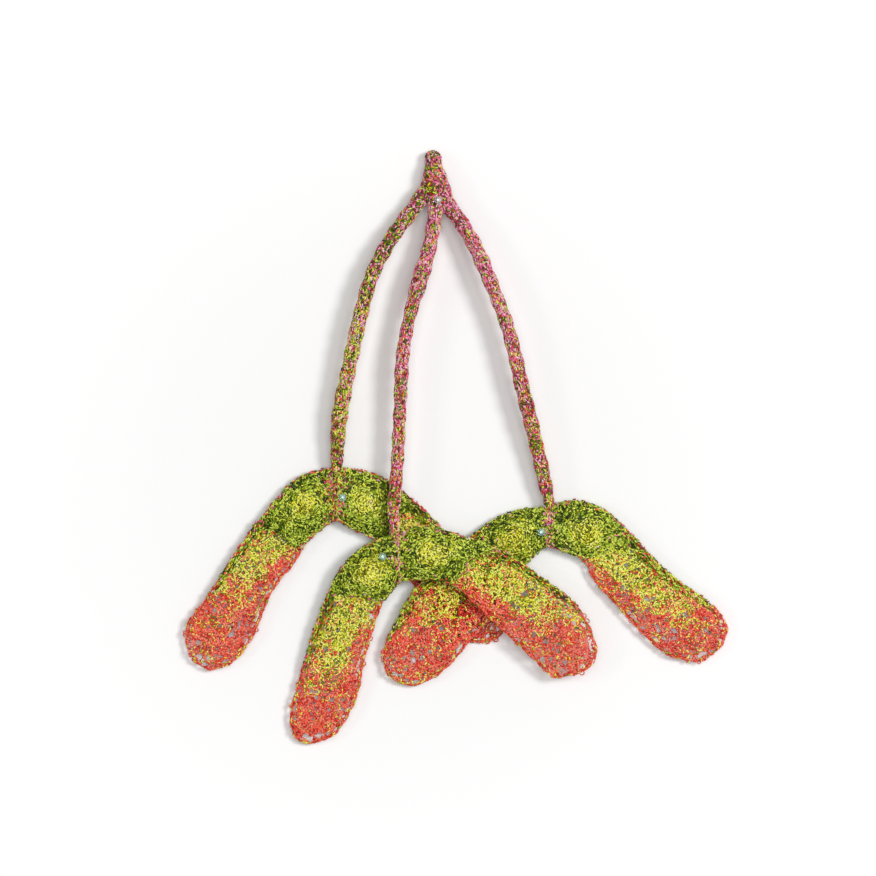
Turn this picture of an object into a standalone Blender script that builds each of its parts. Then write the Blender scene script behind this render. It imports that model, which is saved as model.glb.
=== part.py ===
"""Maple samara cluster worked in free stitched thread, lying flat.

Three pairs of winged seeds hang from one three-branched stitched cord. Each seed is a padded green
pod, whose green edge band runs on along the back of the wing, and a coral wing of thread lace: a
raised net with open meshes. Four glass-headed pins stand in plain holes.

Metres, +Z up. The cluster lies on Z = 0, its stalk end towards +Y, the middle of its outline at the
origin. Plan positions are written in millimetres below and turned to metres by MM.
"""

import bisect
import math
import random

import bmesh
import bpy
from mathutils import Vector
from mathutils.geometry import delaunay_2d_cdt

MM = 0.001

# Threadwork
EDGE_HALF = 0.35 * MM          # half the thickness of a stitched edge
POD_HALF = 2.45 * MM           # half the thickness of the padding over a pod
BAND_HALF = 0.72 * MM          # half the thickness of the green band along a wing's back
BAND_WIDTH = 2.1 * MM
NET_HALF = 0.50 * MM           # half the height of the net's ridges
MESH_PITCH = 3.3 * MM          # between the middles of neighbouring meshes of the net
STRAND_HALF = 0.55 * MM        # from a ridge's crest to the mesh beside it
GAP = 0.35 * MM                # air between neighbouring sub-parts
POD_RELIEF = 0.18 * MM         # how far the swirled stitching lifts a pod's skin

# Grid of a pod and its band
POD_ROWS = 9
POD_COLUMNS = 8
BAND_COLUMNS = 2               # of the pod's columns, those that run on as the band
BAND_ROW = 3.0 * MM

# Cord
CORD_SIDES = 8
CORD_RING = 2.2 * MM
CORD_KNOB = 0.09               # share of the radius by which the wrapping swells and dips
CORD_TWIST = 5.2 * MM          # length over which the wrapping goes once round

# Pins
PIN_HEAD = 0.95 * MM
PIN_SHANK = 0.27 * MM
PIN_HOLE = 0.60 * MM
PIN_SIDES = 10

# One entry for each seed. back and belly are its two edges from the seam to the tip, in mm. rise is
# the height of its middle surface at even steps from seam to tip, in mm. pod gives the share of the
# back and of the belly that the pod takes, band the share of the back where the green band ends. open
# is the share of the wing's meshes that are open.
SEEDS = {
    "left_outer": dict(
        back=[(-29.9, -5.0), (-38.8, -7.7), (-47.2, -16.6), (-54.6, -26.8), (-61.4, -37.4), (-65.6, -42.8),
              (-66.2, -47.2), (-64.4, -52.3), (-60.3, -54.9)],
        belly=[(-30.1, -17.9), (-36.6, -23.2), (-39.3, -27.9), (-43.6, -33.2), (-46.3, -37.8), (-48.6, -43.6),
               (-50.6, -47.9), (-54.8, -52.8), (-60.3, -54.9)],
        rise=[2.3, 1.95, 2.3, 2.2, 2.0, 1.7], pod=(0.32, 0.22), band=0.68, open=0.6),
    "left_inner": dict(
        back=[(-28.9, -4.9), (-22.4, -6.0), (-16.3, -8.7), (-8.6, -14.8), (-3.4, -20.2), (5.9, -32.6), (11.2, -42.4),
              (10.6, -46.6), (6.4, -48.2)],
        belly=[(-29.2, -18.0), (-25.6, -20.0), (-19.6, -22.9), (-11.3, -32.6), (-4.4, -42.4), (1.0, -46.9),
               (6.4, -48.2)],
        rise=[2.3, 1.95, 1.05, 0.85, 0.65, 0.45], pod=(0.30, 0.26), band=0.70, open=0.6),
    "middle_outer": dict(
        back=[(-14.6, -21.2), (-21.2, -23.4), (-27.1, -28.2), (-30.4, -33.6), (-34.2, -42.9), (-36.2, -49.4),
              (-38.4, -57.0), (-40.6, -65.5), (-39.6, -71.0), (-36.4, -72.9)],
        belly=[(-14.4, -33.8), (-18.2, -38.6), (-20.6, -45.5), (-22.6, -52.6), (-23.8, -59.4), (-26.2, -65.4),
               (-30.2, -70.8), (-36.4, -72.9)],
        rise=[4.9, 4.1, 3.0, 2.3, 1.9, 1.5], pod=(0.36, 0.10), band=0.67, open=0.65),
    "middle_inner": dict(
        back=[(-13.7, -20.6), (-7.2, -19.6), (2.4, -22.0), (11.2, -25.1), (19.7, -31.0), (28.2, -37.4), (32.4, -43.6),
              (34.4, -50.4), (31.2, -54.9), (23.8, -56.6)],
        belly=[(-13.5, -32.6), (-6.8, -32.4), (-0.2, -33.8), (6.6, -40.3), (14.5, -47.6), (18.9, -51.8),
               (23.8, -56.6)],
        rise=[5.0, 5.9, 5.3, 5.0, 4.6, 3.9], pod=(0.27, 0.27), band=0.68, open=0.8),
    "right_inner": dict(
        back=[(22.5, -14.8), (15.4, -15.4), (8.4, -18.3), (-1.5, -26.5), (-9.6, -34.2), (-14.2, -41.8),
              (-17.6, -49.4), (-16.6, -56.0), (-10.6, -58.8)],
        belly=[(22.3, -24.3), (17.2, -28.7), (10.8, -38.7), (2.9, -48.0), (-0.6, -52.4), (-5.0, -56.2),
               (-10.6, -58.8)],
        rise=[2.3, 2.0, 2.7, 2.7, 2.3, 1.6], pod=(0.26, 0.18), band=0.78, open=0.6),
    "right_outer": dict(
        back=[(23.5, -14.2), (29.6, -13.1), (36.4, -15.4), (42.2, -20.6), (47.6, -26.4), (54.6, -32.8), (61.6, -37.8),
              (66.2, -43.2), (65.4, -48.4), (60.4, -52.6)],
        belly=[(23.3, -24.5), (28.6, -26.4), (32.0, -28.8), (34.2, -33.2), (40.0, -39.3), (45.0, -44.9),
               (50.4, -49.9), (54.6, -52.0), (60.4, -52.6)],
        rise=[2.3, 1.95, 2.3, 2.2, 2.0, 1.7], pod=(0.30, 0.17), band=0.76, open=0.65),
}

# Routes of the cord in mm, with the radius at even steps along each.
PEDUNCLE = dict(route=[(-5.6, 72.77, 1.9), (-5.6, 69.8, 2.0), (-5.2, 65.9, 2.7), (-4.5, 60.5, 3.5)],
                radii=[1.7, 2.1, 2.7, 3.2, 2.4])
BRANCHES = {
    "left": dict(
        route=[(-5.8, 65.6, 2.7), (-10.2, 58.6, 3.8), (-14.3, 53.2, 4.6), (-17.4, 48.3, 5.2), (-20.9, 40.9, 5.6),
               (-23.2, 32.6, 5.8), (-24.7, 26.2, 5.7), (-26.8, 16.4, 5.2), (-28.6, 6.6, 4.3), (-29.2, -4.1, 3.1)],
        radii=[1.9, 1.85, 1.8, 1.75, 1.75, 1.8, 1.75, 1.9, 1.8]),
    "middle": dict(
        route=[(-4.9, 63.4, 3.2), (-5.2, 56.5, 4.0), (-6.6, 48.5, 5.0), (-8.8, 40.9, 5.6), (-11.3, 32.0, 6.0),
               (-13.0, 22.5, 5.9), (-13.6, 11.5, 5.7), (-14.1, 0.5, 5.6), (-14.8, -10.0, 5.7), (-15.4, -16.0, 5.6),
               (-15.0, -19.4, 5.4)],
        radii=[1.9, 1.75, 1.75, 2.0, 1.55, 1.6, 1.65, 1.5, 1.55, 1.5, 1.6]),
    "right": dict(
        route=[(-4.9, 65.6, 2.7), (-2.3, 59.5, 3.6), (1.2, 55.0, 4.2), (4.7, 48.9, 5.0), (8.2, 40.9, 5.6),
               (12.0, 31.1, 5.8), (14.4, 22.5, 5.7), (16.3, 14.0, 5.3), (18.6, 5.0, 4.7), (21.2, -6.0, 3.7),
               (22.8, -13.2, 3.1)],
        radii=[2.0, 1.9, 1.75, 1.8, 1.65, 1.65, 1.7, 1.75, 1.8, 1.7, 1.7]),
}

# Where each pin stands, in mm, and the sub-part it goes through.
PINS = {
    "pin_fork": ((-4.4, 60.3), "stalk"),
    "pin_left": ((-27.7, -12.3), "pod_left_inner"),
    "pin_middle": ((-17.9, -26.7), "pod_middle_outer"),
    "pin_right": ((20.8, -20.8), "pod_right_inner"),
}

# Colour, roughness and metallic value of each material.
FINISHES = {
    "thread_green": ((0.16, 0.26, 0.03), 0.45, 0.0),
    "thread_coral": ((0.72, 0.10, 0.06), 0.45, 0.0),
    "thread_pink": ((0.62, 0.08, 0.20), 0.45, 0.0),
    "glass_head": ((0.80, 0.90, 0.90), 0.05, 0.0),
}


def blend(values, share):
    """Value at a share (0 to 1) of a smooth run through evenly spaced values."""
    place = min(max(share, 0.0), 1.0) * (len(values) - 1)
    i = min(int(place), len(values) - 2)
    t = place - i
    a, b, c, d = (values[min(max(k, 0), len(values) - 1)] for k in range(i - 1, i + 3))
    return b + 0.5 * t * (c - a + t * (2 * a - 5 * b + 4 * c - d + t * (3 * (b - c) + d - a)))


class Curve:
    """A smooth line through hand-picked points, read by share of its length."""

    STEPS = 24

    def __init__(self, points_mm):
        count = (len(points_mm) - 1) * self.STEPS
        runs = list(zip(*points_mm))
        self.line = [Vector([blend(run, i / count) for run in runs]) * MM for i in range(count + 1)]
        self.reach = [0.0]
        for a, b in zip(self.line, self.line[1:]):
            self.reach.append(self.reach[-1] + (b - a).length)
        self.length = self.reach[-1]

    def at(self, share):
        far = min(max(share, 0.0), 1.0) * self.length
        i = min(max(bisect.bisect_left(self.reach, far), 1), len(self.line) - 1)
        part = (far - self.reach[i - 1]) / (self.reach[i] - self.reach[i - 1])
        return self.line[i - 1].lerp(self.line[i], part)


class Seed:
    """A winged seed's surface: u runs from seam (0) to tip (1), v from back (-1) to belly (+1)."""

    def __init__(self, spec):
        self.back = Curve(spec["back"])
        self.belly = Curve(spec["belly"])
        self.rise = spec["rise"]
        self.pod = spec["pod"]
        self.band_end = spec["band"]
        self.open = spec["open"]

    def plan(self, u, v):
        return self.back.at(u).lerp(self.belly.at(u), (v + 1) / 2)

    def height(self, u):
        return blend(self.rise, u) * MM

    def border(self, v):
        """u of the line where the pod ends and the wing begins."""
        return self.pod[0] + (self.pod[1] - self.pod[0]) * (v + 1) / 2

    def band(self, u):
        """v of the band's inner edge, drawn in towards its far end."""
        width = (self.belly.at(u) - self.back.at(u)).length
        end = min(1.0, (self.band_end - u) / 0.25)
        return -1 + 2 * BAND_WIDTH * (0.45 + 0.55 * max(end, 0.0)) / max(width, BAND_WIDTH)


def material(name):
    colour, roughness, metallic = FINISHES[name]
    made = bpy.data.materials.get(name)
    if made is None:
        made = bpy.data.materials.new(name)
        made.use_nodes = True
        shader = made.node_tree.nodes["Principled BSDF"]
        shader.inputs["Base Color"].default_value = (*colour, 1.0)
        shader.inputs["Roughness"].default_value = roughness
        shader.inputs["Metallic"].default_value = metallic
    return made


def new_object(name, vertices, faces, finish):
    mesh = bpy.data.meshes.new(name)
    mesh.from_pydata(vertices, [], faces)
    mesh.materials.append(material(finish))
    mesh.shade_smooth()
    mesh.set_sharp_from_angle(angle=math.radians(50))
    made = bpy.data.objects.new(name, mesh)
    bpy.context.scene.collection.objects.link(made)
    return made


def quilt(name, plan, middle, half, faces, finish):
    """A closed sheet: each plan point gets a top and a bottom, or one point where it has no thickness."""
    vertices = [(p.x, p.y, z + h) for p, z, h in zip(plan, middle, half)]
    under = list(range(len(plan)))
    for i, (p, z, h) in enumerate(zip(plan, middle, half)):
        if h > 0:
            under[i] = len(vertices)
            vertices.append((p.x, p.y, max(z - h, 0.0)))
    triangles = [(face[0], face[i], face[i + 1]) for face in faces for i in range(1, len(face) - 1)]
    walls = []
    edges = {(a, b) for face in faces for a, b in zip(face, face[1:] + face[:1])}
    for a, b in sorted(edges):
        if (b, a) not in edges and (half[a] > 0 or half[b] > 0):
            walls.append([b, a, under[a], under[b]])
    shell = triangles + [tuple(under[i] for i in reversed(t)) for t in triangles]
    for wall in walls:
        corners = [c for i, c in enumerate(wall) if c not in wall[:i]]
        shell += [tuple(corners[:3])] + ([(corners[0], corners[2], corners[3])] if len(corners) == 4 else [])
    return new_object(name, vertices, shell, finish)


def pod(name, seed):
    """The padded pod with the green band that runs on along the wing's back."""
    rows = POD_ROWS + math.ceil((seed.band_end - seed.border(-1)) * seed.back.length / BAND_ROW)
    plan, middle, half = [], [], []
    index = {}
    for i in range(rows + 1):
        columns = POD_COLUMNS if i <= POD_ROWS else BAND_COLUMNS
        for j in range(columns + 1):
            along = i / POD_ROWS
            beyond = max(0, i - POD_ROWS) / (rows - POD_ROWS)
            band_v = seed.band(seed.border(-1) + (seed.band_end - seed.border(-1)) * beyond)
            if j <= BAND_COLUMNS:
                v = -1 + (band_v + 1) * j / BAND_COLUMNS
            else:
                v = band_v + (1 - band_v) * (j - BAND_COLUMNS) / (POD_COLUMNS - BAND_COLUMNS)
            if i <= POD_ROWS:
                u = seed.border(v) * along
                crown = max(0.0, 1 - v * v) ** 0.6
                thick = EDGE_HALF + (POD_HALF - EDGE_HALF) * crown * blend([0.5, 0.9, 1.0, 0.82, 0.22], along)
                ripple = math.sin(2.2 * math.pi * j - 1.7 * i) * POD_RELIEF
                thick += ripple * crown * math.sin(math.pi * min(1.0, along))
                if j <= BAND_COLUMNS:
                    thick = max(thick, EDGE_HALF + (BAND_HALF - EDGE_HALF) * along * (1 - abs(j - 1)))
            else:
                u = seed.border(-1) + (seed.band_end - seed.border(-1)) * beyond
                thick = EDGE_HALF + (BAND_HALF - EDGE_HALF) * (1 - abs(j - 1)) * (1 - 0.4 * beyond)
            index[i, j] = len(plan)
            plan.append(seed.plan(u, v))
            middle.append(seed.height(u))
            half.append(thick)
    faces = []
    for i in range(rows):
        for j in range(POD_COLUMNS if i < POD_ROWS else BAND_COLUMNS):
            faces.append([index[i, j], index[i + 1, j], index[i + 1, j + 1], index[i, j + 1]])
    return quilt(name, plan, middle, half, outward(plan, faces), "thread_green")


def outward(plan, faces):
    """The faces, all turned so that they run anticlockwise in plan."""
    area = sum((plan[f[1]] - plan[f[0]]).cross(plan[f[2]] - plan[f[0]]) for f in faces)
    return faces if area > 0 else [list(reversed(f)) for f in faces]


def wing_outline(seed):
    """Corners of the wing in plan, anticlockwise, evenly spaced, clear of the pod and its band."""
    step = MESH_PITCH * 0.78
    start = seed.border(1) + 0.009
    turn = seed.band_end + 0.012
    inner = seed.border(-1) + 0.012
    runs = [
        (lambda t: seed.plan(start + (1 - start) * t, 1), (1 - start) * seed.belly.length),
        (lambda t: seed.plan(1 + (turn - 1) * t, -1), (1 - turn) * seed.back.length),
        (lambda t: seed.plan(turn + (inner - turn) * t, clear_of_band(seed, turn + (inner - turn) * t)),
         (turn - inner) * seed.back.length),
        (lambda t: seed.plan(seed.border(border_v(seed, inner, t)) + 0.012 - 0.003 * t, border_v(seed, inner, t)),
         (seed.plan(seed.border(1), 1) - seed.plan(inner, -1)).length * 0.8),
    ]
    outline = []
    for place, length in runs:
        count = max(1, round(length / step))
        outline += [place(i / count) for i in range(count)]
    area = sum(a.cross(b) for a, b in zip(outline, outline[1:] + outline[:1]))
    return outline if area > 0 else outline[::-1]


def clear_of_band(seed, u):
    """v just inside the band at u."""
    width = (seed.belly.at(u) - seed.back.at(u)).length
    return seed.band(u) + 2 * GAP / width


def border_v(seed, inner, share):
    """v at a share of the pod's border, from the band to the belly."""
    first = clear_of_band(seed, inner)
    return first + (1 - first) * share


def inside(outline, point):
    """Whether the point lies in the outline, and how far it is from it."""
    within, near = False, math.inf
    for a, b in zip(outline, outline[1:] + outline[:1]):
        if (a.y > point.y) != (b.y > point.y):
            within ^= point.x < a.x + (b.x - a.x) * (point.y - a.y) / (b.y - a.y)
        run = b - a
        t = min(max((point - a).dot(run) / run.length_squared, 0.0), 1.0)
        near = min(near, (point - a - run * t).length)
    return within, near


def net_middles(outline, draw):
    """Middles of the net's meshes: a loosened honeycomb inside the outline."""
    middles = []
    low = Vector((min(p.x for p in outline), min(p.y for p in outline)))
    high = Vector((max(p.x for p in outline), max(p.y for p in outline)))
    row = MESH_PITCH * math.sqrt(3) / 2
    for j in range(int((high.y - low.y) / row) + 2):
        for i in range(int((high.x - low.x) / MESH_PITCH) + 2):
            loose = Vector((draw.uniform(-1, 1), draw.uniform(-1, 1))) * MESH_PITCH * 0.2
            spot = low + Vector(((i + 0.5 * (j % 2)) * MESH_PITCH, j * row)) + loose
            within, near = inside(outline, spot)
            if within and near > MESH_PITCH * 0.55:
                middles.append(spot)
    return middles


def wing(name, seed, draw):
    """The wing's lace: a net of ridges whose meshes are open or closed, in a stitched rim."""
    outline = wing_outline(seed)
    middles = net_middles(outline, draw)
    rim = list(range(len(outline)))
    points, _, cells, *_ = delaunay_2d_cdt(outline + middles, [], [rim], 1, 1e-7, True)
    if len(points) != len(outline) + len(middles):
        raise ValueError(f"{name}: the outline crosses itself")
    cells = [cell for cell in cells if inside(outline, sum((points[i] for i in cell), Vector((0, 0))) / 3)[0]]
    around = {i: [] for i in range(len(points))}
    for c, cell in enumerate(cells):
        for corner in cell:
            around[corner].append(c)
    plan = [sum((points[i] for i in cell), Vector((0, 0))) / 3 for cell in cells]
    half = [NET_HALF] * len(plan)
    corner_at = {i: len(plan) + i for i in rim}
    plan += [points[i] for i in rim]
    half += [EDGE_HALF] * len(rim)
    edge_at = {}
    for i in rim:
        edge_at[i] = len(plan)
        plan.append((points[i] + points[(i + 1) % len(rim)]) / 2)
        half.append(EDGE_HALF)
    faces = []
    for i, spot in enumerate(points):
        ring = sorted(around[i], key=lambda c: angle_of(plan[c] - spot))
        if i in corner_at:
            before, after = edge_at[(i - 1) % len(rim)], edge_at[i]
            start = angle_of(plan[after] - spot)
            ring.sort(key=lambda c: (angle_of(plan[c] - spot) - start) % (2 * math.pi))
            faces.append([corner_at[i], after] + ring + [before])
            continue
        size = min((plan[c] - spot).length for c in ring)
        inner = []
        is_open = size > 1.9 * STRAND_HALF and draw.random() < seed.open
        for c in ring:
            inner.append(len(plan))
            plan.append(spot + (plan[c] - spot) * (1 - min(STRAND_HALF / size, 0.6)))
            half.append(0.0 if is_open else EDGE_HALF)
        for k in range(len(ring)):
            n = (k + 1) % len(ring)
            faces.append([ring[k], ring[n], inner[n], inner[k]])
        if not is_open:
            faces.append(inner)
    middle = [seed.height(nearest_u(seed, p)) for p in plan]
    return quilt(name, plan, middle, half, faces, "thread_coral")


def angle_of(arm):
    return math.atan2(arm.y, arm.x)


def nearest_u(seed, point):
    """u of the cross line that passes nearest the point."""
    def off(u):
        a, b = seed.back.at(u), seed.belly.at(u)
        run = b - a
        t = min(max((point - a).dot(run) / max(run.length_squared, 1e-12), 0.0), 1.0)
        return (point - a - run * t).length
    best = min((i / 60 for i in range(61)), key=off)
    return min((best + k / 600 for k in range(-10, 11)), key=off)


def tube(name, spec, phase):
    """A wrapped cord: a round tube whose radius swells and dips along a slow twist."""
    route = Curve(spec["route"])
    rings = math.ceil(route.length / CORD_RING)
    vertices, faces = [], []
    for i in range(rings + 1):
        share = i / rings
        here = route.at(share)
        ahead = (route.at(share + 0.01) - route.at(share - 0.01)).normalized()
        side = ahead.cross(Vector((0, 0, 1))).normalized()
        up = side.cross(ahead)
        radius = blend(spec["radii"], share) * MM
        radius *= 0.72 if i in (0, rings) else 1.0
        for k in range(CORD_SIDES):
            turn = 2 * math.pi * k / CORD_SIDES
            wrap = 2 * math.pi * share * route.length / CORD_TWIST + phase
            swell = radius * (1 + CORD_KNOB * math.sin(2 * turn + wrap))
            spot = here + (side * math.cos(turn) + up * math.sin(turn)) * swell
            vertices.append((spot.x, spot.y, max(spot.z, 0.0)))
    for i in range(rings):
        for k in range(CORD_SIDES):
            a, b = i * CORD_SIDES + k, i * CORD_SIDES + (k + 1) % CORD_SIDES
            faces.append((a, b, b + CORD_SIDES, a + CORD_SIDES))
    faces.append(tuple(reversed(range(CORD_SIDES))))
    faces.append(tuple(range(rings * CORD_SIDES, (rings + 1) * CORD_SIDES)))
    made = new_object(name, vertices, faces, "thread_pink")
    form = bmesh.new()
    form.from_mesh(made.data)
    bmesh.ops.triangulate(form, faces=form.faces)
    bmesh.ops.recalc_face_normals(form, faces=form.faces)
    form.to_mesh(made.data)
    form.free()
    return made


def evaluated_copy(made):
    """The object's mesh with its modifiers worked in."""
    bpy.context.view_layer.update()
    return bpy.data.meshes.new_from_object(made.evaluated_get(bpy.context.evaluated_depsgraph_get()))


def stalk():
    """The cord: a short thick end and three branches, fused into one body."""
    made = tube("stalk", PEDUNCLE, 0.0)
    branches = bpy.data.collections.new("branches")
    bpy.context.scene.collection.children.link(branches)
    for phase, (name, spec) in enumerate(BRANCHES.items()):
        branch = tube("branch_" + name, spec, 2.0 * phase)
        bpy.context.scene.collection.objects.unlink(branch)
        branches.objects.link(branch)
    fuse = made.modifiers.new("fuse", "BOOLEAN")
    fuse.operation = "UNION"
    fuse.operand_type = "COLLECTION"
    fuse.collection = branches
    fused = evaluated_copy(made)
    made.modifiers.clear()
    made.data = fused
    for branch in list(branches.objects):
        bpy.data.objects.remove(branch)
    bpy.data.collections.remove(branches)
    return made


def top_of(made, x, y):
    """Height of the object's upper side over a plan point."""
    hit, top, *_ = made.ray_cast(Vector((x, y, 1.0)), Vector((0, 0, -1)))
    if not hit:
        raise ValueError(f"{made.name}: nothing to pin at {x}, {y}")
    return top.z


def pin(name, spot_mm, cloth):
    """A glass-headed pin standing upright in a plain hole, its point left above the surface."""
    x, y = spot_mm[0] * MM, spot_mm[1] * MM
    middle = top_of(cloth, x, y) + GAP + PIN_HEAD
    neck = math.acos(PIN_SHANK / PIN_HEAD)
    profile = [(0.0, GAP), (PIN_SHANK, GAP + 0.5 * MM), (PIN_SHANK, middle - PIN_HEAD * math.sin(neck))]
    for i in range(1, 8):
        turn = -neck + (neck + math.pi / 2) * i / 8
        profile.append((PIN_HEAD * math.cos(turn), middle + PIN_HEAD * math.sin(turn)))
    profile.append((0.0, middle + PIN_HEAD))
    form = bmesh.new()
    line = [form.verts.new((x + r, y, z)) for r, z in profile]
    edges = [form.edges.new(pair) for pair in zip(line, line[1:])]
    bmesh.ops.spin(form, geom=line + edges, cent=(x, y, 0), axis=(0, 0, 1), angle=2 * math.pi, steps=PIN_SIDES,
                   use_merge=True)
    bmesh.ops.remove_doubles(form, verts=form.verts, dist=1e-7)
    bmesh.ops.triangulate(form, faces=form.faces)
    bmesh.ops.recalc_face_normals(form, faces=form.faces)
    made = new_object(name, [], [], "glass_head")
    form.to_mesh(made.data)
    form.free()
    made.data.shade_smooth()
    return made


def drill(cloth, spot_mm):
    """A plain upright hole through the stitching for a pin."""
    form = bmesh.new()
    bmesh.ops.create_cone(form, cap_ends=True, segments=8, radius1=PIN_HOLE, radius2=PIN_HOLE, depth=40 * MM)
    bmesh.ops.translate(form, verts=form.verts, vec=(spot_mm[0] * MM, spot_mm[1] * MM, 0))
    mesh = bpy.data.meshes.new("cutter_" + cloth.name)
    form.to_mesh(mesh)
    form.free()
    cutter = bpy.data.objects.new(mesh.name, mesh)
    bpy.context.scene.collection.objects.link(cutter)
    cutter.hide_render = True
    cutter.display_type = "WIRE"
    hole = cloth.modifiers.new("pin_hole", "BOOLEAN")
    hole.operation = "DIFFERENCE"
    hole.object = cutter


def build():
    for old in list(bpy.data.objects):
        bpy.data.objects.remove(old)
    made = {}
    for i, (name, spec) in enumerate(SEEDS.items()):
        seed = Seed(spec)
        made["pod_" + name] = pod("pod_" + name, seed)
        made["wing_" + name] = wing("wing_" + name, seed, random.Random(40 + i))
    made["stalk"] = stalk()
    for name, (spot, cloth) in PINS.items():
        pin(name, spot, made[cloth])
    for spot, cloth in PINS.values():
        drill(made[cloth], spot)


if __name__ == "__main__":
    build()
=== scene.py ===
"""Maple samara cluster in free stitched thread: six padded green pods, six open coral lace wings, a
forked corded stalk and four glass-headed pins, on a pale studio floor.

Every strand that shows is a real stitch: a small rounded bar of thread between two needle holes, laid
by a free-motion walk that covers what is bare, keeps out of the open meshes and passes over what is
already there. Metres, +Z up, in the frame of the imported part.
"""

import math
import random

import bpy
import numpy as np
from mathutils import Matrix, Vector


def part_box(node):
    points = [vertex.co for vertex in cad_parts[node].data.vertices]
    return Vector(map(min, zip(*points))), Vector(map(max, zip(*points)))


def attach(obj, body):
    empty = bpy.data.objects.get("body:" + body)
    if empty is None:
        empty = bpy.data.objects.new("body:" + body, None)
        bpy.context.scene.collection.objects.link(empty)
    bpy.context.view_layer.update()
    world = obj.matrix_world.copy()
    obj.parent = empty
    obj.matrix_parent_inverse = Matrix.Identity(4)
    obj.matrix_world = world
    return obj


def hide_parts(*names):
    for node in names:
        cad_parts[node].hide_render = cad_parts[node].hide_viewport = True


bl_info = {
    "name": "Stitched Maple Samaras",
    "version": (1, 0, 0),
    "blender": (4, 5, 0),
    "location": "View3D > Sidebar > Samaras",
    "description": "Dresses a cluster of maple samaras in stitched thread",
    "category": "Add Mesh",
}

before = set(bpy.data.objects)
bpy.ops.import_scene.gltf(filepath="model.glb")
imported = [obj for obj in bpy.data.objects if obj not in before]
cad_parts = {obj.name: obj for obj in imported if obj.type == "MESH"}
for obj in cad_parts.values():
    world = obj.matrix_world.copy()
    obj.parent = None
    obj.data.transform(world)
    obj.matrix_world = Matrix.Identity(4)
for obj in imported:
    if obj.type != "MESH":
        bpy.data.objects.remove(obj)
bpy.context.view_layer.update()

MM = 0.001
UP = (0.0, 0.0, 1.0)
DOWN = (0.0, 0.0, -1.0)
FLOOR_GAP = 0.25 * MM          # what stray stitches keep clear of the floor

# The thread chart: U picks the dye and its tone, V runs along the stitch.
CHART_MAP = "OFBake"
DYE_ROOM = 0.25                # U from one dye to the next
DYE_RUN = 0.22                 # U from a dye's deep tone to its light one
STRAND_ROOM = 0.006            # U from one side of a stitch to the other
PLIES = 6                      # turns of the ply in one stitch
RING_AT = (0.16, 0.84)         # where along a stitch its two rings are

# Columns of the stitches that a chart sews: the two needle holes, the thread passed over, the run.
START, END, PASSED, RUN = slice(0, 2), slice(2, 4), 4, 5

SMALL_MESHES = 30              # open meshes strewn over a wing

# The first seed of the random draws for each kind of piece.
FIRST_DRAW = {"stalk": 210, "pods": 310, "wings": 410, "seams": 510}

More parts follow.
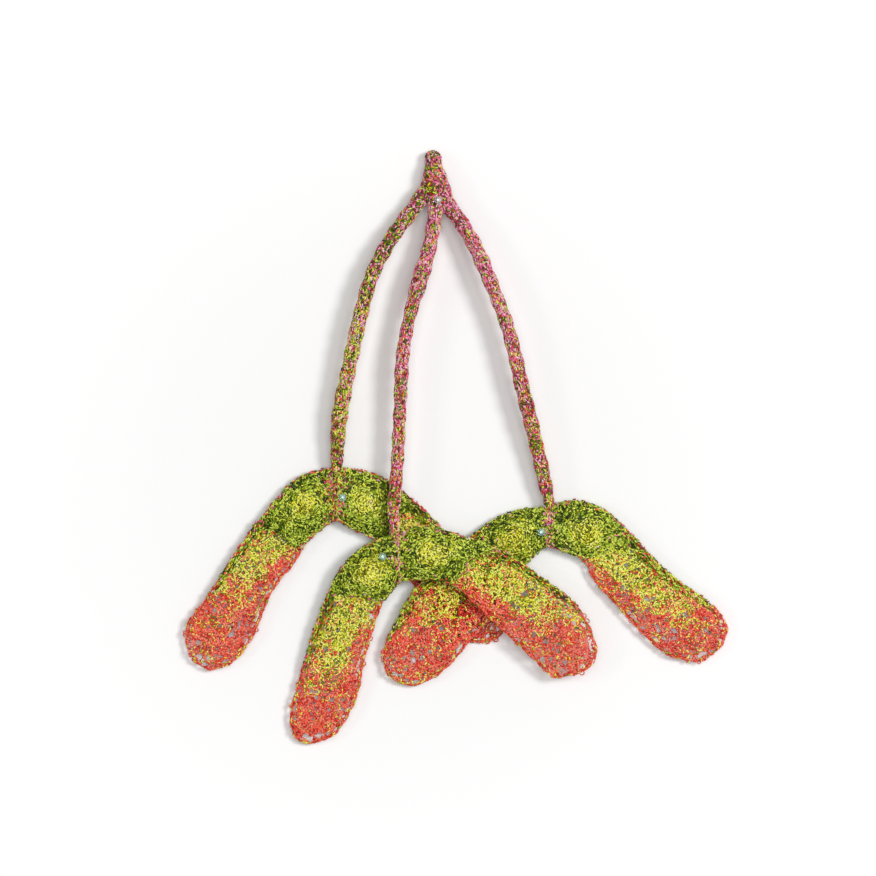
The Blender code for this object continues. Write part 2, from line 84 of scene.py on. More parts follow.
# The two edges of each seed from seam to tip, the height of its middle surface, the shares of the back
# and the belly that its pod takes and that are green, where its green band ends, the middle of its pale
# patch, where along it the coral takes over, and the share of pink in its edges.
SEEDS = {
    "left_outer": dict(
        back=[(-29.9, -5.0), (-38.8, -7.7), (-47.2, -16.6), (-54.6, -26.8), (-61.4, -37.4), (-65.6, -42.8),
              (-66.2, -47.2), (-64.4, -52.3), (-60.3, -54.9)],
        belly=[(-30.1, -17.9), (-36.6, -23.2), (-39.3, -27.9), (-43.6, -33.2), (-46.3, -37.8), (-48.6, -43.6),
               (-50.6, -47.9), (-54.8, -52.8), (-60.3, -54.9)],
        rise=[2.3, 1.95, 2.3, 2.2, 2.0, 1.7], pod=(0.32, 0.22), green=(0.38, 0.21), band=0.68,
        pale=(-36.0, -13.8), coral=0.60, blush=0.6),
    "left_inner": dict(
        back=[(-28.9, -4.9), (-22.4, -6.0), (-16.3, -8.7), (-8.6, -14.8), (-3.4, -20.2), (5.9, -32.6),
              (11.2, -42.4), (10.6, -46.6), (6.4, -48.2)],
        belly=[(-29.2, -18.0), (-25.6, -20.0), (-19.6, -22.9), (-11.3, -32.6), (-4.4, -42.4), (1.0, -46.9),
               (6.4, -48.2)],
        rise=[2.3, 1.95, 1.05, 0.85, 0.65, 0.45], pod=(0.30, 0.26), green=(0.32, 0.26), band=0.70,
        pale=(-21.9, -13.3), coral=0.56, blush=0.6),
    "middle_outer": dict(
        back=[(-14.6, -21.2), (-21.2, -23.4), (-27.1, -28.2), (-30.4, -33.6), (-34.2, -42.9), (-36.2, -49.4),
              (-38.4, -57.0), (-40.6, -65.5), (-39.6, -71.0), (-36.4, -72.9)],
        belly=[(-14.4, -33.8), (-18.2, -38.6), (-20.6, -45.5), (-22.6, -52.6), (-23.8, -59.4), (-26.2, -65.4),
               (-30.2, -70.8), (-36.4, -72.9)],
        rise=[4.9, 4.1, 3.0, 2.3, 1.9, 1.5], pod=(0.36, 0.10), green=(0.38, 0.10), band=0.67,
        pale=(-20.7, -30.8), coral=0.64, blush=0.32),
    "middle_inner": dict(
        back=[(-13.7, -20.6), (-7.2, -19.6), (2.4, -22.0), (11.2, -25.1), (19.7, -31.0), (28.2, -37.4),
              (32.4, -43.6), (34.4, -50.4), (31.2, -54.9), (23.8, -56.6)],
        belly=[(-13.5, -32.6), (-6.8, -32.4), (-0.2, -33.8), (6.6, -40.3), (14.5, -47.6), (18.9, -51.8),
               (23.8, -56.6)],
        rise=[5.0, 5.9, 5.3, 5.0, 4.6, 3.9], pod=(0.27, 0.27), green=(0.33, 0.27), band=0.68,
        pale=(-5.2, -26.2), coral=0.68, blush=0.28),
    "right_inner": dict(
        back=[(22.5, -14.8), (15.4, -15.4), (8.4, -18.3), (-1.5, -26.5), (-9.6, -34.2), (-14.2, -41.8),
              (-17.6, -49.4), (-16.6, -56.0), (-10.6, -58.8)],
        belly=[(22.3, -24.3), (17.2, -28.7), (10.8, -38.7), (2.9, -48.0), (-0.6, -52.4), (-5.0, -56.2),
               (-10.6, -58.8)],
        rise=[2.3, 2.0, 2.7, 2.7, 2.3, 1.6], pod=(0.26, 0.18), green=(0.30, 0.18), band=0.78,
        pale=(13.6, -22.6), coral=0.63, blush=0.28),
    "right_outer": dict(
        back=[(23.5, -14.2), (29.6, -13.1), (36.4, -15.4), (42.2, -20.6), (47.6, -26.4), (54.6, -32.8),
              (61.6, -37.8), (66.2, -43.2), (65.4, -48.4), (60.4, -52.6)],
        belly=[(23.3, -24.5), (28.6, -26.4), (32.0, -28.8), (34.2, -33.2), (40.0, -39.3), (45.0, -44.9),
               (50.4, -49.9), (54.6, -52.0), (60.4, -52.6)],
        rise=[2.3, 1.95, 2.3, 2.2, 2.0, 1.7], pod=(0.30, 0.17), green=(0.44, 0.16), band=0.76,
        pale=(31.8, -20.8), coral=0.64, blush=0.36),
}

# Routes and radii of the cord, and the share of pink in its thread at even steps along it.
CORDS = {
    "end": dict(
        route=[(-5.6, 72.77, 1.9), (-5.6, 69.8, 2.0), (-5.2, 65.9, 2.7), (-4.5, 60.5, 3.5)],
        radii=[1.7, 2.1, 2.7, 3.2, 2.4], pink=[0.55, 0.6, 0.55]),
    "left": dict(
        route=[(-5.6, 65.9, 2.7), (-10.2, 58.6, 3.8), (-14.3, 53.2, 4.6), (-17.4, 48.3, 5.2),
               (-20.9, 40.9, 5.6), (-23.2, 32.6, 5.8), (-24.7, 26.2, 5.7), (-26.8, 16.4, 5.2),
               (-28.6, 6.6, 4.3), (-29.2, -4.1, 3.1), (-29.5, -6.6, 2.6)],
        radii=[1.9, 1.85, 1.8, 1.75, 1.75, 1.8, 1.75, 1.9, 1.8, 1.3], pink=[0.5, 0.42, 0.4, 0.36, 0.34, 0.4]),
    "middle": dict(
        route=[(-4.9, 63.4, 3.2), (-5.2, 56.5, 4.0), (-6.6, 48.5, 5.0), (-8.8, 40.9, 5.6),
               (-11.3, 32.0, 6.0), (-13.0, 22.5, 5.9), (-13.6, 11.5, 5.7), (-14.1, 0.5, 5.6),
               (-14.8, -10.0, 5.7), (-15.4, -16.0, 5.6), (-15.0, -19.4, 5.4), (-14.7, -23.0, 5.2)],
        radii=[1.9, 1.75, 1.75, 2.0, 1.55, 1.6, 1.65, 1.5, 1.55, 1.5, 1.5, 1.1],
        pink=[0.6, 0.62, 0.6, 0.56, 0.56, 0.46]),
    "right": dict(
        route=[(-4.6, 66.2, 2.7), (-3.2, 62.8, 3.2), (-1.9, 59.3, 3.6), (1.2, 55.0, 4.2),
               (4.7, 48.9, 5.0), (8.2, 40.9, 5.6), (12.0, 31.1, 5.8), (14.4, 22.5, 5.7), (16.3, 14.0, 5.3),
               (18.6, 5.0, 4.7), (21.2, -6.0, 3.7), (22.8, -13.2, 3.1), (23.0, -16.0, 2.7)],
        radii=[2.0, 1.9, 1.75, 1.8, 1.65, 1.65, 1.7, 1.75, 1.8, 1.7, 1.7, 1.2],
        pink=[0.64, 0.66, 0.58, 0.56, 0.5, 0.46]),
}

PINS = ("pin_fork", "pin_left", "pin_middle", "pin_right")

# Dyes, each a run of tones from deep to light on the thread chart.
GREEN, YELLOW, CORAL, PINK = range(4)
DYES = ("green", "yellow", "coral", "pink")


def shade(red, green, blue):
    """A display colour, 0 to 255, as Blender's linear values."""
    return tuple(c / 3294.6 if c <= 10 else ((c / 255 + 0.055) / 1.055) ** 2.4 for c in (red, green, blue))


def colour(name, description, *display):
    return bpy.props.FloatVectorProperty(name=name, description=description, subtype="COLOR", size=3,
                                         min=0, max=1, default=shade(*display))


def size(name, description, millimetres):
    return bpy.props.FloatProperty(name=name, description=description, subtype="DISTANCE", unit="LENGTH",
                                   min=0, default=millimetres * MM, precision=5)


def ratio(name, description, default, most=1.0):
    return bpy.props.FloatProperty(name=name, description=description, min=0, max=most, default=default)


# The pods that each seam joins, the breadth of its stitching to either side, its stitches on top, and
# its dyes, shares and tones. Below, every seam has the same count.
STITCHES_BELOW = 130
SEAMS = {
    "left": dict(
        pods=("left_outer", "left_inner"), breadth=0.46, density=330,
        tints=((PINK, 0.34, 0.3), (CORAL, 0.20, 0.22), (GREEN, 0.36, 0.35), (YELLOW, 0.10, 0.4))),
    "middle": dict(
        pods=("middle_outer", "middle_inner"), breadth=0.22, density=170,
        tints=((PINK, 0.46, 0.5), (GREEN, 0.44, 0.35), (YELLOW, 0.10, 0.4))),
    "right": dict(
        pods=("right_inner", "right_outer"), breadth=0.22, density=150,
        tints=((PINK, 0.48, 0.5), (GREEN, 0.42, 0.35), (YELLOW, 0.10, 0.4))),
}


class SamaraThread(bpy.types.PropertyGroup):
    """Sizes of the thread and of what it covers."""

    width: size("Thread width", "Width of a line of stitches, two threads side by side", 0.36)
    stitch: size("Stitch", "Mean distance between needle holes", 1.00)
    pod_half: size("Pod half thickness", "Half the thickness of a padded pod", 2.45)
    band_half: size("Band half thickness", "Half the thickness of the band along a wing's back", 0.60)
    band_width: size("Band width", "Width of the band along a wing's back", 2.1)
    edge_half: size("Edge half thickness", "Half the thickness of a stitched edge", 0.35)
    pod_cover: ratio("Pod cover", "Layers of thread over a pod", 1.7, 3)
    wing_cover: ratio("Wing cover", "Layers of thread in a wing", 2.1, 3)
    cord_cover: ratio("Cord cover", "Layers of thread over the stalk", 1.75, 3)
    roughness: ratio("Thread roughness", "Roughness of the rayon", 0.32)


class SamaraDyes(bpy.types.PropertyGroup):
    """Deep, middle and light tone of each dye; beside their random scatter, the deep and light tones serve as
    painted shade and painted light.
    """

    green_deep: colour("Green, deep", "Green thread in its folds", 38, 56, 0)
    green_middle: colour("Green, middle", "Green thread of the pods", 162, 188, 34)
    green_light: colour("Green, light", "Green thread where it catches the light", 232, 246, 100)
    yellow_deep: colour("Yellow green, deep", "Yellow-green thread in its folds", 134, 130, 0)
    yellow_middle: colour("Yellow green, middle", "Yellow-green thread of pods and wings", 246, 242, 50)
    yellow_light: colour("Yellow green, light", "Yellow-green thread in the light", 255, 255, 136)
    coral_deep: colour("Coral, deep", "Coral thread in its folds", 210, 30, 20)
    coral_middle: colour("Coral, middle", "Coral thread of the wings", 255, 92, 66)
    coral_light: colour("Coral, light", "Coral thread in the light", 255, 150, 124)
    pink_deep: colour("Pink, deep", "Pink thread in its folds", 140, 26, 60)
    pink_middle: colour("Pink, middle", "Pink thread of seams and stalk", 252, 106, 156)
    pink_light: colour("Pink, light", "Pink thread in the light", 255, 204, 222)
    # The paper is one even sheet: the darker colour near the cluster is painted shade, the lighter one far
    # out painted light.
    floor: colour("Floor", "Paper that the cluster lies on", 239, 239, 239)
    floor_painted_light_rim: colour("Floor, outside", "Paper well away from the cluster", 250, 250, 250)


class SamaraPins(bpy.types.PropertyGroup):
    """Sizes of the pins."""

    head: size("Head radius", "Radius of the glass head", 0.95)
    shank: size("Shank radius", "Radius of the steel shank", 0.27)


class Socket:
    """A node's output that Python's operators can work with; each adds a Math node."""

    def __init__(self, tree, link):
        self.tree = tree
        self.link = link

    def math(self, operation, *values):
        return node(self.tree, "ShaderNodeMath", {"operation": operation}, dict(enumerate((self, *values))))

    def __add__(self, other):
        return self.math("ADD", other)

    def __sub__(self, other):
        return self.math("SUBTRACT", other)

    def __rsub__(self, other):
        return node(self.tree, "ShaderNodeMath", {"operation": "SUBTRACT"}, {0: other, 1: self})

    def __mul__(self, other):
        return self.math("MULTIPLY", other)

    def __abs__(self):
        return self.math("ABSOLUTE")

    __radd__ = __add__
    __rmul__ = __mul__


def node(tree, kind, settings=None, inputs=None, output=0):
    """A node of a kind, with its settings made first and then its sockets' values or links."""
    made = tree.nodes.new(kind)
    for key, value in (settings or {}).items():
        if key == "stops":
            elements = made.color_ramp.elements
            while len(elements) > 1:
                elements.remove(elements[-1])
            for i, (place, tint) in enumerate(value):
                stop = elements[0] if i == 0 else elements.new(place)
                stop.position = place
                stop.color = (*tint, 1)
        else:
            setattr(made, key, value)
    plug(made, inputs or {})
    return Socket(tree, made.outputs[output])


def plug(made, inputs):
    """Links sockets to a node's inputs, and sets plain values on them."""
    for key, value in inputs.items():
        if isinstance(value, Socket):
            value.tree.links.new(value.link, made.inputs[key])
        else:
            made.inputs[key].default_value = value


def material(name):
    """A fresh material, its tree and its shader."""
    made = bpy.data.materials.new(name)
    made.use_nodes = True
    return made, made.node_tree, made.node_tree.nodes["Principled BSDF"]


def fine_noise(tree, scale, detail=2.0):
    """Noise in the object's own coordinates, and those coordinates."""
    where = node(tree, "ShaderNodeTexCoord", output="Object")
    return node(tree, "ShaderNodeTexNoise", None, {"Vector": where, "Scale": scale, "Detail": detail}), where


def mix(tree, factor, first, second, blend_type="MIX"):
    """Mixes two colours; the node has sockets of the same names for numbers, so these go by place."""
    return node(tree, "ShaderNodeMix", {"data_type": "RGBA", "blend_type": blend_type},
                {0: factor, 6: first, 7: second}, 2)


def thread_material():
    """Rayon thread. U of the chart picks dye and tone, V runs along the stitch with the ply's twist, and
    painted shade darkens each stitch towards its needle holes and in the ply's grooves.
    """
    old = bpy.data.materials.get("thread")
    if old:
        return old
    dyes = bpy.context.scene.samara_dyes
    made, tree, shader = material("thread")
    chart = node(tree, "ShaderNodeUVMap", {"uv_map": CHART_MAP})
    u, v = (node(tree, "ShaderNodeSeparateXYZ", None, {0: chart}, axis) for axis in "XY")
    stops = []
    for i, dye in enumerate(DYES):
        for place, tone in ((0.0, "deep"), (0.5, "middle"), (1.0, "light")):
            stops.append((dye_place(i, place), tuple(getattr(dyes, f"{dye}_{tone}"))))
    tint = node(tree, "ShaderNodeValToRGB", {"stops": stops}, {0: u})
    twist = (v * (2 * math.pi * PLIES)).math("SINE")
    shine = twist * 0.5 + 0.5
    fibre = node(tree, "ShaderNodeTexNoise", {"noise_dimensions": "2D"},
                 {"Vector": chart, "Scale": 60.0, "Detail": 2.0, "Roughness": 0.6})
    # painted shade: each stitch darkened towards its two needle holes, and a little in the ply's grooves
    ends = abs(v * 2 - 1).math("POWER", 3.0)
    painted_shade_tint = mix(tree, ends * 0.7 + (1 - shine) * 0.2, tint, (0.26, 0.22, 0.20, 1), "MULTIPLY")
    rough = bpy.context.scene.samara_thread.roughness
    bump = node(tree, "ShaderNodeBump", None, {"Strength": 0.35, "Distance": 0.08 * MM, "Height": shine})
    plug(shader, {"Base Color": painted_shade_tint, "Roughness": fibre * 0.2 + (rough - 0.1), "Normal": bump,
                  "Specular IOR Level": 0.35})
    return made


def dye_place(dye, tone):
    """U of a tone (0 deep to 1 light) of a dye on the thread chart."""
    return dye * DYE_ROOM + 0.01 + DYE_RUN * tone


def blend(values, share):
    """Values at shares (0 to 1) of a smooth run through evenly spaced values."""
    values = np.asarray(values, float)
    place = np.clip(np.asarray(share, float), 0, 1) * (len(values) - 1)
    i = np.minimum(place.astype(int), len(values) - 2)
    t = place - i
    if values.ndim > 1:
        t = t[..., None]
    a, b, c, d = (values[np.clip(i + k, 0, len(values) - 1)] for k in (-1, 0, 1, 2))
    return b + 0.5 * t * (c - a + t * (2 * a - 5 * b + 4 * c - d + t * (3 * (b - c) + d - a)))


class Curve:
    """A smooth line through listed points in millimetres, read by share of its length."""

    def __init__(self, points):
        self.line = blend(points, np.linspace(0, 1, 24 * (len(points) - 1) + 1)) * MM
        steps = np.linalg.norm(np.diff(self.line, axis=0), axis=1)
        self.reach = np.concatenate([[0.0], np.cumsum(steps)])
        self.length = self.reach[-1]

    def at(self, share):
        far = np.clip(share, 0, 1) * self.length
        return np.stack([np.interp(far, self.reach, run) for run in self.line.T], -1)


class Chart:
    """A flat chart of small cells: where the needle may come down, the grain, and what lies there."""

    CELL = 0.2 * MM
    TURNS = (0.0, 0.45, -0.45, 0.95, -0.95, 1.7, -1.7)
    TRIES = 60                 # places looked at for the start of a run
    LAID_END = 0.55            # thread that a stitch lays in the cell of its hole
    LAID_MIDDLE = 0.8          # and in the cell under its middle
    LAID_BESIDE = 0.5          # share of these that spills into each of the four cells beside
    LAID_IN_ALL = 4.05         # the sum of all that over the cells
    CROWDED = 2.1              # a run ends where this many times the mean lies already
    IDLE = 0.01                # what each vain start adds to that limit

    def __init__(self, low, high, wraps=False):
        self.low = np.asarray(low, float)
        self.cols = int((high[0] - low[0]) / self.CELL) + 2
        self.rows = int(round((high[1] - low[1]) / self.CELL)) + (0 if wraps else 2)
        self.wraps = wraps
        size = (self.rows, self.cols)
        self.room = np.zeros(size, bool)
        self.way = np.zeros(size)
        self.grain = np.zeros(size)

    def middles(self):
        """Where the middle of each cell lies."""
        rows, cols = np.indices(self.room.shape)
        return self.low[0] + (cols + 0.5) * self.CELL, self.low[1] + (rows + 0.5) * self.CELL

    def cells(self, points):
        """Row and column of each point."""
        place = (points - self.low) / self.CELL
        col = np.clip(place[..., 0].astype(int), 0, self.cols - 1)
        row = place[..., 1].astype(int)
        row = row % self.rows if self.wraps else np.clip(row, 0, self.rows - 1)
        return row, col

    def sew(self, draw, cover, stitch, width, curl, stiff):
        """Free-motion stitching: for each stitch its two needle holes, the thread passed over, its run.

        Curl is the bend of the loops at each stitch, and stiff what it costs to turn away from it.
        """
        cell, cols, rows = self.CELL, self.cols, self.rows
        low_x, low_y = self.low
        room = self.room.ravel().tolist()
        way = self.way.ravel().tolist()
        grain = self.grain.ravel().tolist()
        laid = [0.0] * len(room)
        free = np.flatnonzero(self.room).tolist()
        target = int(cover * len(free) * cell * cell / (stitch * width))
        mean_step = self.LAID_IN_ALL / max(len(free), 1)
        made, run, here, idle = [], 0, None, 0
        while free and len(made) < target:
            if here is None:
                start = min((free[draw.randrange(len(free))] for _ in range(self.TRIES)),
                            key=laid.__getitem__)
                here = (low_x + (start % cols + draw.random()) * cell,
                        low_y + (start // cols + draw.random()) * cell)
                heading = draw.uniform(-math.pi, math.pi)
                bend, hold = draw.choice((-1, 1)) * curl, draw.randint(5, 14)
                run += 1
            x, y = here
            reach = stitch * draw.uniform(0.75, 1.3)
            best, chosen = math.inf, None
            for turn in self.TURNS:
                way_out = heading + bend + turn + draw.uniform(-0.12, 0.12)
                nx, ny = x + reach * math.cos(way_out), y + reach * math.sin(way_out)
                col, row = int((nx - low_x) / cell), int((ny - low_y) / cell)
                mid_col = int(((x + nx) / 2 - low_x) / cell)
                mid_row = int(((y + ny) / 2 - low_y) / cell)
                if self.wraps:
                    row, mid_row = row % rows, mid_row % rows
                if not (0 <= col < cols and 0 <= row < rows and 0 <= mid_col < cols and 0 <= mid_row < rows):
                    continue
                end, mid = row * cols + col, mid_row * cols + mid_col
                if not (room[end] and room[mid]):
                    continue
                cost = laid[end] + laid[mid] + stiff * abs(turn)
                if grain[end]:
                    cost += grain[end] * (1 - math.cos(2 * (way_out - way[end])))
                if cost < best:
                    best, chosen = cost, (nx, ny, way_out, end, mid)
            if chosen is None or best > 1.0 + self.CROWDED * mean_step * len(made) + self.IDLE * idle:
                here = None
                idle += 1
                continue
            idle = 0
            nx, ny, heading, end, mid = chosen
            made.append((x, y, nx, ny, laid[mid], run))
            for spot, much in ((end, self.LAID_END), (mid, self.LAID_MIDDLE)):
                laid[spot] += much
                for beside in (spot - 1, spot + 1, spot - cols, spot + cols):
                    if 0 <= beside < len(laid):
                        laid[beside] += much * self.LAID_BESIDE
            here = (nx, ny)
            hold -= 1
            if hold < 0:
                bend, hold = draw.choice((-1, 1)) * curl * draw.uniform(0.7, 1.25), draw.randint(5, 14)
                run += 1
        return np.array(made).reshape(-1, 6)


def spread(values, known):
    """Values carried six cells out past the known ones, so that edges can be read smoothly."""
    values, known = values.copy(), known.copy()
    for _ in range(6):
        total, count = np.zeros_like(values), np.zeros_like(values)
        for step, axis in ((1, 0), (-1, 0), (1, 1), (-1, 1)):
            near = np.roll(known, step, axis)
            total += np.where(near, np.roll(values, step, axis), 0)
            count += near
        fresh = ~known & (count > 0)
        values[fresh] = total[fresh] / count[fresh]
        known |= fresh
    return values


def ragged(x, y, phase):
    """A slow uneven pattern between about -1 and 1 over the plane."""
    a, b, c = phase + 1.3, 2.1 * phase + 0.4, 3.7 * phase
    return (np.sin(x / (1.9 * MM) + a) * np.sin(y / (1.6 * MM) + b) * 0.6
            + np.sin((x + y) / (0.9 * MM) + c) * np.sin((x - y) / (1.1 * MM) + a) * 0.5)


class Seed:
    """A winged seed: u runs from seam (0) to tip (1), v from back (-1) to belly (+1)."""

    def __init__(self, name):
        self.spec = SEEDS[name]
        self.back = Curve(self.spec["back"])
        self.belly = Curve(self.spec["belly"])
        self.pod = self.spec["pod"]
        self.band_end = self.spec["band"]
        self.phase = 1.7 * list(SEEDS).index(name)
        self.sizes = bpy.context.scene.samara_thread
        self.draw_chart()

    def plan(self, u, v):
        part = ((np.asarray(v) + 1) / 2)[..., None]
        return self.back.at(u) * (1 - part) + self.belly.at(u) * part

    def height(self, u):
        return blend(self.spec["rise"], u) * MM

    def border(self, v):
        """u of the line where the pod ends and the wing begins."""
        return self.pod[0] + (self.pod[1] - self.pod[0]) * (np.asarray(v) + 1) / 2

    def band(self, u):
        """v of the band's inner edge, drawn in towards its far end."""
        width = np.linalg.norm(self.belly.at(u) - self.back.at(u), axis=-1)
        end = np.clip((self.band_end - np.asarray(u)) / 0.25, 0, 1)
        return -1 + 2 * self.sizes.band_width * (0.45 + 0.55 * end) / np.maximum(width, self.sizes.band_width)

    def half(self, u, v):
        """Half the thickness: padded over the pod, rounded over the band, thin in the wing."""
        edge = self.sizes.edge_half
        along = np.minimum(u / self.border(v), 1)
        crown = np.maximum(0, 1 - v * v) ** 0.6
        pad = edge + (self.sizes.pod_half - edge) * crown * blend([0.5, 0.9, 1.0, 0.80, 0.14], along)
        across = np.clip((v + 1) / (self.band(u) + 1), 0, 1)
        round_top = np.sqrt(np.maximum(0, 1 - (2 * across - 1) ** 2))
        ridge = edge + (self.sizes.band_half - edge) * round_top * along
        beyond = np.exp(-np.maximum(u - self.border(v), 0) / 0.02)
        wing = np.where(v < self.band(u), ridge, edge * 0.6)
        return wing + np.maximum(pad - wing, 0) * beyond

    def draw_chart(self):
        """Fills the chart: u, v, ways along the seed and along the nearest edge, heights of its faces.

        The grid of u and v is close enough to reach every cell inside the outline.
        """
        outline = np.concatenate([self.back.line, self.belly.line[::-1]])
        self.chart = chart = Chart(outline.min(0) - 1.5 * MM, outline.max(0) + 1.5 * MM)
        u, v = np.meshgrid(np.linspace(0, 1, 1100), np.linspace(-1, 1, 300))
        row, col = chart.cells(self.plan(u, v))
        size = chart.room.shape
        self.u, self.v, known = np.zeros(size), np.zeros(size), np.zeros(size, bool)
        self.u[row, col], self.v[row, col], known[row, col] = u, v, True
        ahead = self.plan(np.minimum(u + 0.01, 1), v) - self.plan(np.maximum(u - 0.01, 0), v)
        self.along = np.zeros(size)
        self.along[row, col] = np.arctan2(ahead[..., 1], ahead[..., 0])
        x, y = chart.middles()
        steps = np.gradient(outline, axis=0)
        self.off, self.round = np.full(size, np.inf), np.zeros(size)
        for spot, step in zip(outline[::3], steps[::3]):
            away = np.hypot(x - spot[0], y - spot[1])
            near = away < self.off
            self.off[near], self.round[near] = away[near], math.atan2(step[1], step[0])
        self.inside = known & (self.off > 0.15 * MM)
        half, middle = self.half(self.u, self.v), self.height(self.u)
        self.middle = spread(middle, known)
        self.top = spread(middle + half, known)
        self.bottom = spread(np.maximum(middle - half, 0.3 * MM), known)
        self.ragged = ragged(x, y, self.phase)

    def read(self, field, points):
        """A field's smooth values at chart points."""
        place = (points - self.chart.low) / self.chart.CELL - 0.5
        col = np.clip(place[:, 0].astype(int), 0, self.chart.cols - 2)
        row = np.clip(place[:, 1].astype(int), 0, self.chart.rows - 2)
        x, y = np.clip(place[:, 0] - col, 0, 1), np.clip(place[:, 1] - row, 0, 1)
        low = field[row, col] * (1 - x) + field[row, col + 1] * x
        high = field[row + 1, col] * (1 - x) + field[row + 1, col + 1] * x
        return low * (1 - y) + high * y

    def place(self, field, points, under=False):
        """Points on a surface, and its normals there."""
        z = self.read(field, points)
        step = 2 * self.chart.CELL
        slope = [(self.read(field, points + way) - self.read(field, points - way)) / (2 * step)
                 for way in (np.array([step, 0]), np.array([0, step]))]
        normal = np.stack([-slope[0], -slope[1], np.ones_like(z)], -1)
        normal /= np.linalg.norm(normal, axis=1, keepdims=True)
        return np.column_stack([points, z]), -normal if under else normal

    def rim(self, back=None, belly=None):
        """A stretch of the outline between two u: its points, the ways along it and the ways inwards.

        With one pair it runs along the back or the belly; with both it rounds the tip from belly to back.
        """
        edges = ((self.belly, belly), (self.back, back))
        stretches = [(edge, np.linspace(*ends, 200)) for edge, ends in edges if ends]
        plan = np.concatenate([edge.at(us) for edge, us in stretches])
        us = np.concatenate([us for _, us in stretches])
        keep = np.concatenate([[True], np.linalg.norm(np.diff(plan, axis=0), axis=1) > 0.005 * MM])
        plan, us = plan[keep], us[keep]
        ahead = np.gradient(plan, axis=0)
        ahead = np.column_stack([np.convolve(np.pad(run, 4, "edge"), np.ones(9) / 9, "valid")
                                 for run in ahead.T])
        ahead /= np.linalg.norm(ahead, axis=1, keepdims=True)
        inward = np.column_stack([-ahead[:, 1], ahead[:, 0]])
        middle = len(plan) // 2
        probe = self.chart.cells(plan[middle] + inward[middle] * 0.8 * MM)
        inward *= 1 if self.inside[probe] else -1
        return np.column_stack([plan, self.height(us)]), ahead, inward


class Threads:
    """Stitches gathered for one piece."""

    def __init__(self):
        self.parts = []

    def add(self, a, b, up, rise, dye, width):
        """Stitches from a to b over a surface with normals up, their middles risen, dyed by chart place."""
        n = len(a)
        self.parts.append([*(np.broadcast_to(x, (n, 3)) for x in (a, b, up)),
                           *(np.broadcast_to(x, n) for x in (rise, dye, width))])

    def mesh(self, name):
        """One small rounded bar for each stitch: two tips sunk in their holes and two rings of four."""
        a, b, up, rise, dye, width = (np.concatenate(x) for x in zip(*self.parts))
        run = b - a
        far = np.linalg.norm(run, axis=1)
        keep = far > 0.1 * MM
        a, b, up, rise, dye, width, run, far = (x[keep] for x in (a, b, up, rise, dye, width, run, far))
        ahead = run / far[:, None]
        side = np.cross(up, ahead)
        side /= np.maximum(np.linalg.norm(side, axis=1, keepdims=True), 1e-9)
        top = np.cross(ahead, side)
        n = len(a)
        points = np.zeros((n, 10, 3))
        points[:, 0] = a - top * 0.05 * MM
        points[:, 9] = b - top * 0.05 * MM
        for ring, t in enumerate(RING_AT):
            centre = a + run * t + top * rise[:, None]
            for k in range(4):
                turn = math.pi / 2 * k
                out = side * (math.cos(turn) * width[:, None] / 2)
                out += top * (math.sin(turn) * width[:, None] * 0.42)
                points[:, 1 + 4 * ring + k] = centre + out
        points[..., 2] = np.maximum(points[..., 2], 0.0)
        corners = []
        near, away = RING_AT
        for k in range(4):
            n_k = (k + 1) % 4
            corners.append(((0, 1 + n_k, 1 + k), (k + 0.5, k + 1, k), (0.0, near, near)))
            corners.append(((1 + k, 1 + n_k, 5 + n_k, 5 + k), (k, k + 1, k + 1, k), (near, near, away, away)))
            corners.append(((9, 5 + k, 5 + n_k), (k + 0.5, k, k + 1), (1.0, away, away)))
        loops = np.concatenate([c[0] for c in corners])
        around = np.concatenate([c[1] for c in corners]) / 4
        along = np.concatenate([c[2] for c in corners])
        totals = np.array([len(c[0]) for c in corners])
        mesh = bpy.data.meshes.new(name)
        mesh.vertices.add(n * 10)
        mesh.vertices.foreach_set("co", points.ravel())
        mesh.loops.add(n * len(loops))
        each = np.arange(n)[:, None]
        mesh.loops.foreach_set("vertex_index", (each * 10 + loops).ravel().astype(np.int32))
        mesh.polygons.add(n * len(totals))
        starts = np.concatenate([[0], np.cumsum(totals)[:-1]])
        mesh.polygons.foreach_set("loop_start", (each * len(loops) + starts).ravel().astype(np.int32))
        mesh.update(calc_edges=True)
        uv = np.zeros((n, len(loops), 2))
        uv[..., 0] = dye[:, None] + around * STRAND_ROOM
        uv[..., 1] = along * (1 - 1 / PLIES) + around / PLIES
        layer = mesh.uv_layers.new(name=CHART_MAP)
        layer.data.foreach_set("uv", uv.ravel())
        mesh.materials.append(thread_material())
        mesh.shade_smooth()
        mesh.validate()
        return mesh


def select(*things):
    """Selects these objects alone; the last one is active."""
    bpy.ops.object.select_all(action="DESELECT")
    for thing in things:
        thing.select_set(True)
        bpy.context.view_layer.objects.active = thing


def underlay(node_name, shrink, dye):
    """What shows between the stitches: the node's own form, drawn in a little, dyed deep as painted shade in
    the gaps.
    """
    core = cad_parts[node_name].copy()
    core.data = core.data.copy()
    bpy.context.scene.collection.objects.link(core)
    core.parent = None
    core.matrix_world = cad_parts[node_name].matrix_world
    core.hide_render = False
    core.hide_set(False)
    select(core)
    bpy.ops.object.mode_set(mode="EDIT")
    bpy.ops.mesh.select_all(action="SELECT")
    bpy.ops.mesh.remove_doubles(threshold=1e-6)
    bpy.ops.transform.shrink_fatten(value=-shrink)
    bpy.ops.object.mode_set(mode="OBJECT")
    bpy.ops.object.transform_apply(location=True, rotation=True, scale=True)
    dye_core(core.data, dye)
    return core


def dye_core(mesh, dye):
    """Gives every face of a core one small patch of the thread chart."""
    mesh.materials.clear()
    mesh.materials.append(thread_material())
    mesh.shade_smooth()
    while mesh.uv_layers:
        mesh.uv_layers.remove(mesh.uv_layers[0])
    layer = mesh.uv_layers.new(name=CHART_MAP)
    places = np.zeros((len(mesh.loops), 2))
    for face in mesh.polygons:
        for k, loop in enumerate(face.loop_indices):
            places[loop] = (dye + 0.004 * (k % 2), 0.40 + 0.02 * (k // 2) + 0.02 * (k % 2))
    layer.data.foreach_set("uv", places.ravel())


